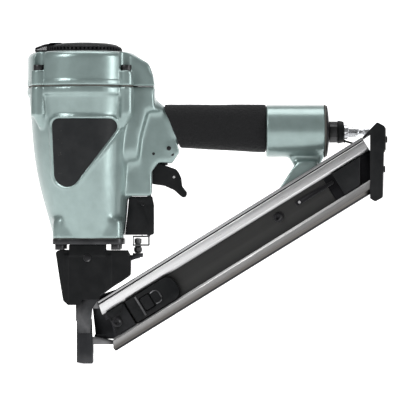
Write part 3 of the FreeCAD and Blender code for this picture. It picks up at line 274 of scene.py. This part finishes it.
def shade(mesh, sharp):
    """Smooth shading, with edges sharper than an angle in degrees kept crisp."""
    for name in ("custom_normal", "sharp_face"):
        if name in mesh.attributes:
            mesh.attributes.remove(mesh.attributes[name])
    mesh.shade_smooth()
    mesh.set_sharp_from_angle(angle=math.radians(sharp))


def apply_modifiers(piece):
    """Bakes the modifiers of a piece into its mesh."""
    graph = bpy.context.evaluated_depsgraph_get()
    graph.update()
    made = bpy.data.meshes.new_from_object(piece.evaluated_get(graph))
    piece.modifiers.clear()
    piece.data = made


def clean_copy(node):
    """A bmesh of a CAD node, its corners merged and its flat faces whole again."""
    bm = bmesh.new()
    bm.from_mesh(NODES[node].data)
    bmesh.ops.remove_doubles(bm, verts=bm.verts, dist=WELD)
    bmesh.ops.dissolve_limit(bm, angle_limit=FLAT_ANGLE, verts=bm.verts, edges=bm.edges)
    return bm


def eased(node, width, slot_name=None):
    """The machined or moulded CAD node with its edges rounded over by a small radius, in millimetres."""
    sharp = 32
    piece = link_piece(node + "_eased", clean_copy(node), slot_name or SLOT_OF[node], BODY_OF[node], sharp)
    bevel = piece.modifiers.new("edges", "BEVEL")
    bevel.width = width * MM
    bevel.segments = 2
    bevel.limit_method = "ANGLE"
    bevel.angle_limit = math.radians(sharp)
    bevel.use_clamp_overlap = True
    bevel.harden_normals = False
    apply_modifiers(piece)
    shade(piece.data, sharp + 12)
    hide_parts(node)


def lathe(bm, profile, centre, axis, turns=64):
    """A closed ring of (radius, height) points spun about an axis through a centre."""
    axis = Vector(axis).normalized()
    across = axis.orthogonal().normalized()
    over = axis.cross(across)
    rings = []
    for i in range(turns):
        angle = 2 * math.pi * i / turns
        outward = across * math.cos(angle) + over * math.sin(angle)
        rings.append([bm.verts.new(Vector(centre) + outward * radius + axis * height)
                      for radius, height in profile])
    for i in range(turns):
        for j in range(len(profile)):
            k = (j + 1) % len(profile)
            bm.faces.new((rings[i - 1][j], rings[i][j], rings[i][k], rings[i - 1][k]))
    bmesh.ops.remove_doubles(bm, verts=bm.verts, dist=FINE_WELD)


def in_metres(outline):
    """An outline, or a profile, given in millimetres."""
    return [(a * MM, b * MM) for a, b in outline]


def slab(bm, outline, depth_low, depth_high, place=Matrix.Identity(4)):
    """A prism: an (across, up) outline swept between two depths, set down by a matrix."""
    near = [bm.verts.new(place @ Vector((x, depth_low, z))) for x, z in outline]
    far = [bm.verts.new(place @ Vector((x, depth_high, z))) for x, z in outline]
    bm.faces.new(near)
    bm.faces.new(far[::-1])
    for i in range(len(outline)):
        bm.faces.new((near[i - 1], near[i], far[i], far[i - 1]))


def rounded(points, radius, steps=5):
    """An outline with every corner rounded; a point may carry its own radius as a third number."""
    outline = []
    for i, point in enumerate(points):
        corner = Vector(point[:2])
        before, after = Vector(points[i - 1][:2]) - corner, Vector(points[(i + 1) % len(points)][:2]) - corner
        half = before.angle(after) / 2
        own = point[2] if len(point) > 2 else radius
        reach = min(own / math.tan(half), 0.45 * before.length, 0.45 * after.length)
        own = reach * math.tan(half)
        start, end = corner + before.normalized() * reach, corner + after.normalized() * reach
        centre = corner + (before.normalized() + after.normalized()).normalized() * own / math.sin(half)
        for k in range(steps + 1):
            spoke = (start - centre).slerp(end - centre, k / steps)
            outline.append(tuple(centre + spoke))
    return outline


def ball(bm, centre, radii):
    """An ellipsoid."""
    place = Matrix.Translation(centre) @ Matrix.Diagonal((*radii, 1))
    bmesh.ops.create_uvsphere(bm, u_segments=24, v_segments=12, radius=1, matrix=place)


def cast(node, lumps, voxel, soften, passes, name=None):
    """A casting: the CAD node and added lumps melted into one skin, its edges softened.

    soften gives each point its share of the smoothing, from 0 to 1."""
    bm = bmesh.new()
    bm.from_mesh(NODES[node].data)
    bmesh.ops.remove_doubles(bm, verts=bm.verts, dist=WELD)
    lumps(bm)
    piece = link_piece(name or node + "_cast", bm, SLOT_OF[node], BODY_OF[node], 180)
    melt = piece.modifiers.new("melt", "REMESH")
    melt.mode = "VOXEL"
    melt.voxel_size = voxel * MM
    apply_modifiers(piece)
    for share, repeats in passes:
        group = piece.vertex_groups.new(name=f"soft_{share}")
        for vertex in piece.data.vertices:
            weight = soften(vertex.co / MM, share)
            if weight > 0:
                group.add([vertex.index], weight, "REPLACE")
        smooth = piece.modifiers.new("smooth", "SMOOTH")
        smooth.factor = 0.5
        smooth.iterations = repeats
        smooth.vertex_group = group.name
        apply_modifiers(piece)
        piece.vertex_groups.clear()
    piece.data.materials.clear()
    piece.data.materials.append(FINISHES[SLOT_OF[node]])
    shade(piece.data, 180)
    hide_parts(node)
    return piece


def unchanged(bm):
    """No added lumps."""


def all_over(point, share):
    """The same smoothing at every point."""
    return 1.0


def ramp(value, low, high):
    """0 below low, 1 above high, smooth between."""
    part = min(max((value - low) / (high - low), 0), 1)
    return part * part * (3 - 2 * part)


# ---------------------------------------------------------------- castings
BARREL_MIDDLE = (cad_box[0][0] / MM + 50) / 2
BARREL_RADIUS = 51.4
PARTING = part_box("cover_gasket")[0].z / MM
BARREL = BVHTree.FromObject(NODES["housing"], bpy.context.evaluated_depsgraph_get())


def plate_outline(grow):
    """The name plate's outline as (across, up) points, moved outwards by a distance."""
    flat = [Vector((vertex.co.x, vertex.co.z)) for vertex in NODES["label_plate"].data.vertices]
    hull = [flat[i] for i in convex_hull_2d(flat)]
    middle = sum(hull, Vector((0, 0))) / len(hull)
    outline = []
    for i, point in enumerate(hull):
        edge = (hull[(i + 1) % len(hull)] - hull[i - 1]).normalized()
        outward = Vector((edge.y, -edge.x))
        outward = outward if outward.dot(point - middle) > 0 else -outward
        outline.append(point + outward * grow)
    return outline


def evenly(points, gap):
    """Points every gap or so along a closed outline."""
    spaced = []
    for i, point in enumerate(points):
        following = points[(i + 1) % len(points)]
        count = max(1, round((following - point).length / gap))
        spaced += [point.lerp(following, k / count) for k in range(count)]
    return spaced


def on_barrel(x, z):
    """The depth of the barrel's near side behind a point of the side view."""
    hit = BARREL.ray_cast(Vector((x, -0.2, z)), Vector((0, 1, 0)))[0]
    return hit.y if hit else 0.0


def tube(bm, points, radius, closed=False):
    """A round bar along points, its ends shut unless it is closed on itself."""
    sides = 10
    angles = [2 * math.pi * k / sides for k in range(sides)]
    rings = []
    for i, point in enumerate(points):
        before = points[i - 1] if i or closed else point
        after = points[(i + 1) % len(points)] if i + 1 < len(points) or closed else point
        turn = (after - before).to_track_quat("Z", "Y")
        rings.append([bm.verts.new(point + turn @ Vector((math.cos(a), math.sin(a), 0)) * radius)
                      for a in angles])
    for i in range(0 if closed else 1, len(rings)):
        for k in range(sides):
            bm.faces.new((rings[i - 1][k - 1], rings[i - 1][k], rings[i][k], rings[i][k - 1]))
    if not closed:
        bm.faces.new(rings[0])
        bm.faces.new(rings[-1][::-1])


def block(bm, sections):
    """A rounded upright block through (up, left, right, half depth) sections, in millimetres."""
    rings = []
    for up, left, right, half in sections:
        outline = rounded([(left, -half), (right, -half), (right, half), (left, half)], min(half, 9) * 0.8)
        rings.append([bm.verts.new(Vector((x, y, up)) * MM) for x, y in outline])
    bm.faces.new(rings[0][::-1])
    bm.faces.new(rings[-1])
    for low, high in zip(rings, rings[1:]):
        for i in range(len(low)):
            bm.faces.new((low[i - 1], low[i], high[i], high[i - 1]))


def barrel_band(bm, profile):
    """A ring round the barrel, as (radius, height above the parting line) in millimetres."""
    lathe(bm, in_metres(profile), (BARREL_MIDDLE * MM, 0, PARTING * MM), (0, 0, 1))


def housing_lumps(bm):
    """Band under the parting line, frame round the name plate, pointed ends below the bolt columns,
    the trigger housing's tapered side and the bosses round its pins."""
    bead = 1.5 * MM
    frame_line = evenly(plate_outline(bead), bead)
    tube(bm, [Vector((p.x, on_barrel(p.x, p.y) - 0.2 * MM, p.y)) for p in frame_line], bead, True)
    block(bm, [(152, 36, 46, 14.6), (168, 36, 47.6, 17), (184, 36, 49.2, 20), (206, 34, 52, 23),
               (231, 30, 58.8, 24.4), (240, 30, 64.2, 24.4)])
    for node, radius in (("valve_dowel", 4.4), ("valve_roll_pin", 3.2), ("trigger_pin", 3.2)):
        low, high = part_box(node)
        middle = (low + high) / 2
        for side in (low.y, high.y):
            ball(bm, (middle.x, side * 0.93, middle.z), (radius * MM, 1.1 * MM, radius * MM))
    inner = BARREL_RADIUS - 3
    barrel_band(bm, [(inner, -8.5), (BARREL_RADIUS, -7), (BARREL_RADIUS, 0), (inner, 0)])
    for side_x in (-1, 1):
        for side_y in (-1, 1):
            place = Matrix.Translation((side_x * 37.4 * MM, side_y * 30.2 * MM, 221.5 * MM))
            lean = Matrix.Shear("XY", 4, (side_x * 0.24, side_y * 0.2))
            bmesh.ops.create_cone(bm, cap_ends=True, segments=28, radius1=3.6 * MM, radius2=7.0 * MM,
                                  depth=12 * MM, matrix=place @ lean)


def housing_soft(point, share):
    """Fine easing everywhere; long easing on the shoulder, the square foot and the magazine bracket."""
    if share == "fine":
        return 1.0
    x, y, z = point
    shoulder = ramp(x, 32, 44) * ramp(z, 150, 170) * (1 - ramp(z, 246, 251)) * (1 - ramp(x, 80, 88))
    shoulder *= max(ramp(z, 202, 210), ramp(abs(y), 12, 15))
    foot = ramp(z, 124, 132) * (1 - ramp(z, 146, 156)) * (1 - ramp(x, 34, 40))
    bracket = ramp(x, 176, 182) * ramp(z, 178, 186) * (1 - ramp(z, 192, 200)) * (1 - ramp(abs(y), 12, 20))
    return max(shoulder, foot, 0.6 * bracket)


def cover_lumps(bm):
    """Band over the parting line."""
    inner = BARREL_RADIUS - 3
    barrel_band(bm, [(inner, 1), (BARREL_RADIUS, 1), (BARREL_RADIUS, 5.5), (inner, 7)])


def cover_soft(point, share):
    """Fine easing everywhere; long easing on the shoulder's top and along the cover's middle."""
    if share == "fine":
        return 1.0
    x, y, z = point
    rise = ramp(z, 260, 268)
    return max(ramp(x, 40, 50) * rise, rise * (1 - ramp(abs(x + 0.8), 0, 1)))


cast("housing", housing_lumps, 1.05, housing_soft, (("fine", 4), ("long", 60)))
cast("top_cover", cover_lumps, 0.8, cover_soft, (("fine", 4), ("long", 150)))


def nose_cover_lumps(bm):
    """Raised middle panel with two soft upright ribs on each side of it, on the near and far faces."""
    low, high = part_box("nose_cover")
    top = high.z / MM
    for face in (low.y / MM, high.y / MM):
        out = 1 if face > 0 else -1
        slab(bm, in_metres([(-13, top - 10.5), (20, top - 10.5), (20, top), (-13, top)]),
             (face - out * 1.5) * MM, (face + out * 1.2) * MM)
        for x, foot in ((-14.5, 58), (-16.8, 62), (22.5, 69), (25, 71)):
            rib = [(x - 0.7, foot), (x + 0.7, foot), (x + 0.7, top - 9), (x - 0.7, top - 9)]
            slab(bm, in_metres(rib), (face - out * 1.2) * MM, (face + out * 0.7) * MM)


cast("nose_cover", nose_cover_lumps, 0.5, all_over, (("fine", 3),))
cast("trigger", unchanged, 0.5, all_over, (("fine", 8),))
cast("label_plate", unchanged, 0.4, all_over, (("fine", 4),))

# ---------------------------------------------------------------- plain machined and moulded pieces
EASED = {
    0.25: ("cover_bolts", "deflector_bolt", "inlet_bushing", "dust_ring", "dust_cap_strap", "air_plug",
           "valve_body", "nose_bolts", "nose_cover_screw", "push_lever", "front_bolt", "bracket_bolt",
           "magazine_nuts", "tail_screws", "stop_lever", "adjuster_stud", "valve_dowel", "valve_roll_pin",
           "trigger_pin", "lever_guide_pin"),
    0.5: ("nose", "contact_tip", "front_block", "feeder_release", "handle_end_cap", "trigger_arm"),
    0.9: ("lever_guard", "nail_feeder", "tail_block", "magazine_end_cap"),
    0.2: ("magazine_body",),
}
BLACKENED = ("front_bolt", "bracket_bolt", "stop_lever")
for width, nodes in EASED.items():
    for node in nodes:
        eased(node, width, slot_name="black_steel" if node in BLACKENED else None)


# ---------------------------------------------------------------- exhaust deflector
def make_deflector():
    """Low dome with a slatted rim and a flat outlet, turning on the cover's centre bolt."""
    low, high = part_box("exhaust_deflector")
    radius, base, top = high.x / MM, low.z / MM, high.z / MM
    bm = bmesh.new()
    shell = [(5.8, top - 2.2), (6.2, top - 0.5), (8, top), (14, top - 0.2), (24, top - 0.9), (30, top - 2.0),
             (33.2, top - 3.9), (34.2, top - 5.2), (31.6, top - 5.2), (29, top - 3.6), (22, top - 2.7),
             (8, top - 2.2)]
    lathe(bm, in_metres(shell), (0, 0, 0), (0, 0, 1), 96)
    rim = [(radius - 3, base), (radius, base), (radius, base + 1.5), (radius - 3, base + 1.5)]
    wall = [(31, base), (32, base), (32, top - 3.5), (31, top - 3.5)]
    for ring in (rim, wall):
        lathe(bm, in_metres(ring), (0, 0, 0), (0, 0, 1), 96)
    slats, outlet_half_angle = 58, 0.42
    for i in range(slats):
        angle = 2 * math.pi * (i + 0.5) / slats
        if abs(angle - math.pi) < outlet_half_angle:
            continue
        place = Matrix.Rotation(angle, 4, "Z") @ Matrix.Translation((33.4 * MM, 0, 0))
        outline = [(-1.8, base + 1), (1.9, base + 1), (1.5, top - 5.4), (0.6, top - 4.2), (-1.8, top - 3.6)]
        slab(bm, in_metres(outline), -0.75 * MM, 0.75 * MM, place)
    spout = rounded([(low.x / MM, base + 1.2), (-28, base + 0.2), (-20, base + 0.2), (-20, top - 0.8),
                     (-30, top - 1.1), (-36, top - 2.2, 3), (low.x / MM, top - 5.2, 1.5)], 0.6, 4)
    for near, far in ((-15, -12.8), (12.8, 15)):
        slab(bm, in_metres(spout), near * MM, far * MM)
    roof = [(low.x / MM, top - 5.2), (-36, top - 2.2), (-30, top - 1.1), (-20, top - 0.8), (-20, top - 2.6),
            (-30, top - 2.9), (-36, top - 4.0), (low.x / MM, top - 6.6)]
    slab(bm, in_metres(roof), -15 * MM, 15 * MM)
    sill = [(low.x / MM, base + 0.2), (-20, base + 0.2), (-20, base + 1.4), (low.x / MM, base + 1.4)]
    slab(bm, in_metres(sill), -15 * MM, 15 * MM)
    cap = link_piece("exhaust_cap", bm, SLOT_OF["exhaust_deflector"], BODY_OF["exhaust_deflector"])
    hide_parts("exhaust_deflector")
    bm = bmesh.new()
    louvre = [(-42.6, base + 1.4), (-30, base + 1.4), (-30, top - 3.4), (-37, top - 4.8), (-42.6, top - 6.6)]
    for y in (-9.6, -4.8, 0, 4.8, 9.6):
        slab(bm, in_metres(louvre), (y - 0.5) * MM, (y + 0.5) * MM)
    cheek = [(-42.8, base + 1.5), (-33.5, base + 1.5), (-33.5, top - 4.0), (-37, top - 4.9),
             (-42.8, top - 7.0)]
    for near, far in ((-15.5, -14.8), (14.8, 15.5)):
        slab(bm, in_metres(cheek), near * MM, far * MM)
    link_piece("outlet_louvres", bm, "bright_steel", BODY_OF["exhaust_deflector"])


make_deflector()


# ---------------------------------------------------------------- feeder fittings
def on_feeder(along, up, across):
    """A point in the magazine's directions, in millimetres."""
    return MAGAZINE @ (Vector((along, across, up)) * MM)


def make_feeder_fittings():
    """Edge strip and the bent wire of the release, on the feeder's outer face."""
    bm = bmesh.new()
    face = -10.6
    strip = [(77.0, 14), (78.6, 14), (78.6, 33.4), (77.0, 33.4)]
    slab(bm, in_metres(strip), (face - 0.7) * MM, (face + 0.3) * MM, MAGAZINE)
    wire = [(91.5, 18), (95, 17.6), (97.6, 18.6), (98.8, 21), (98.8, 26), (97.6, 28.4), (95, 29.4),
            (91.5, 29)]
    tube(bm, [on_feeder(u, v, face - 0.4) for u, v in wire], 0.65 * MM)
    link_piece("feeder_wire", bm, "dark_steel", BODY_OF["nail_feeder"])


make_feeder_fittings()


# ---------------------------------------------------------------- adjuster
def make_knob():
    """Depth adjuster wheel with a straight knurl and a turned neck."""
    low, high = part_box("adjuster_knob")
    centre = ((low.x + high.x) / 2, 0, 0)
    base, top = low.z / MM, high.z / MM
    bm = bmesh.new()
    turned = [(2.05, base + 0.5), (2.8, base), (3.3, base + 0.6), (3.3, base + 5), (2.7, base + 5.8),
              (2.5, base + 8.3), (3.3, base + 8.4), (3.3, top), (2.05, top)]
    lathe(bm, in_metres(turned), centre, (0, 0, 1), 48)
    ridges = 26
    for i in range(ridges):
        place = Matrix.Translation(centre) @ Matrix.Rotation(2 * math.pi * i / ridges, 4, "Z")
        outline = [(2.9, base + 0.9), (3.7, base + 1.4), (3.7, base + 4.4), (2.9, base + 4.9)]
        slab(bm, in_metres(outline), -0.22 * MM, 0.22 * MM, place)
    knob = link_piece("adjuster_wheel", bm, SLOT_OF["adjuster_knob"], BODY_OF["adjuster_knob"])
    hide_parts("adjuster_knob")


make_knob()


# ---------------------------------------------------------------- grip
def make_grip():
    """Foam sleeve: soft ends and a shallow uneven surface."""
    piece = cast("grip_sleeve", unchanged, 0.9, all_over, (("fine", 10),), "foam_grip")
    moved = []
    for vertex in piece.data.vertices:
        lift = noise.noise(vertex.co * 420) * 0.22 + noise.noise(vertex.co * 60) * 0.35
        moved.extend(vertex.co + vertex.normal * lift * MM)
    piece.data.vertices.foreach_set("co", moved)


make_grip()


# ---------------------------------------------------------------- stage
def make_stage():
    """Pale floor that curves up into a pale wall behind the tool."""
    bm = bmesh.new()
    floor_level = -0.4 * MM
    flat_end, bend, half_width = 3.4, 0.8, 5
    profile = [(-3.6, floor_level), (flat_end, floor_level)]
    profile += [(flat_end + bend * math.sin(a), floor_level + bend * (1 - math.cos(a)))
                for a in (math.pi / 2 * k / 12 for k in range(1, 13))]
    profile.append((flat_end + bend, 4.5))
    left = [bm.verts.new((-half_width, y, z)) for y, z in profile]
    right = [bm.verts.new((half_width, y, z)) for y, z in profile]
    for i in range(len(profile) - 1):
        bm.faces.new((left[i], right[i], right[i + 1], left[i + 1]))
    mesh = bpy.data.meshes.new("backdrop")
    bm.to_mesh(mesh)
    bm.free()
    mesh.shade_smooth()
    floor = bpy.data.objects.new("backdrop", mesh)
    bpy.context.scene.collection.objects.link(floor)
    paper = finish("backdrop_finish", (0.90, 0.90, 0.90), (0.92, 0.92, 0.92), 0.0, 0.75, 0.85, 60, 0.0)
    glow = paper.node_tree.nodes["Principled BSDF"].inputs
    glow["Emission Color"].default_value = (1, 1, 1, 1)
    glow["Emission Strength"].default_value = 0.85
    mesh.materials.append(paper)


def softbox(name, place, aim, size, power):
    """A rectangular studio light aimed at a point."""
    lamp = bpy.data.lights.new(name, "AREA")
    lamp.shape = "RECTANGLE"
    lamp.size, lamp.size_y = size
    lamp.energy = power
    light = bpy.data.objects.new(name, lamp)
    light.location = place
    light.rotation_euler = (Vector(aim) - Vector(place)).to_track_quat("-Z", "Y").to_euler()
    bpy.context.scene.collection.objects.link(light)


def make_light_and_camera():
    """Soft studio light from the left, the right and above, and a level camera square to the near side."""
    world = bpy.data.worlds.new("studio")
    world.use_nodes = True
    world.node_tree.nodes["Background"].inputs["Color"].default_value = (1, 1, 1, 1)
    world.node_tree.nodes["Background"].inputs["Strength"].default_value = 0.24
    bpy.context.scene.world = world
    middle = (0.107, 0, 0.150)
    for name, place, size, power in (("key", (-0.9, -1.1, 1.1), (0.5, 0.9), 15),
                                     ("side", (1.5, -0.7, 0.4), (0.3, 1.2), 12),
                                     ("top", (0.1, 0.1, 1.5), (1.2, 0.8), 12)):
        softbox(name, place, middle, size, power)
    bpy.context.scene.view_settings.view_transform = "Standard"
    distance, view_width, sensor = 2.4, 0.368, 36.0
    lens = bpy.data.cameras.new("camera")
    lens.sensor_width = sensor
    lens.lens = sensor / 2 / (view_width / 2 / distance)
    camera = bpy.data.objects.new("camera", lens)
    camera.location = (0.1067, -distance, 0.1500)
    camera.rotation_euler = (math.radians(90), 0, 0)
    bpy.context.scene.collection.objects.link(camera)
    bpy.context.scene.camera = camera


make_stage()
make_light_and_camera()
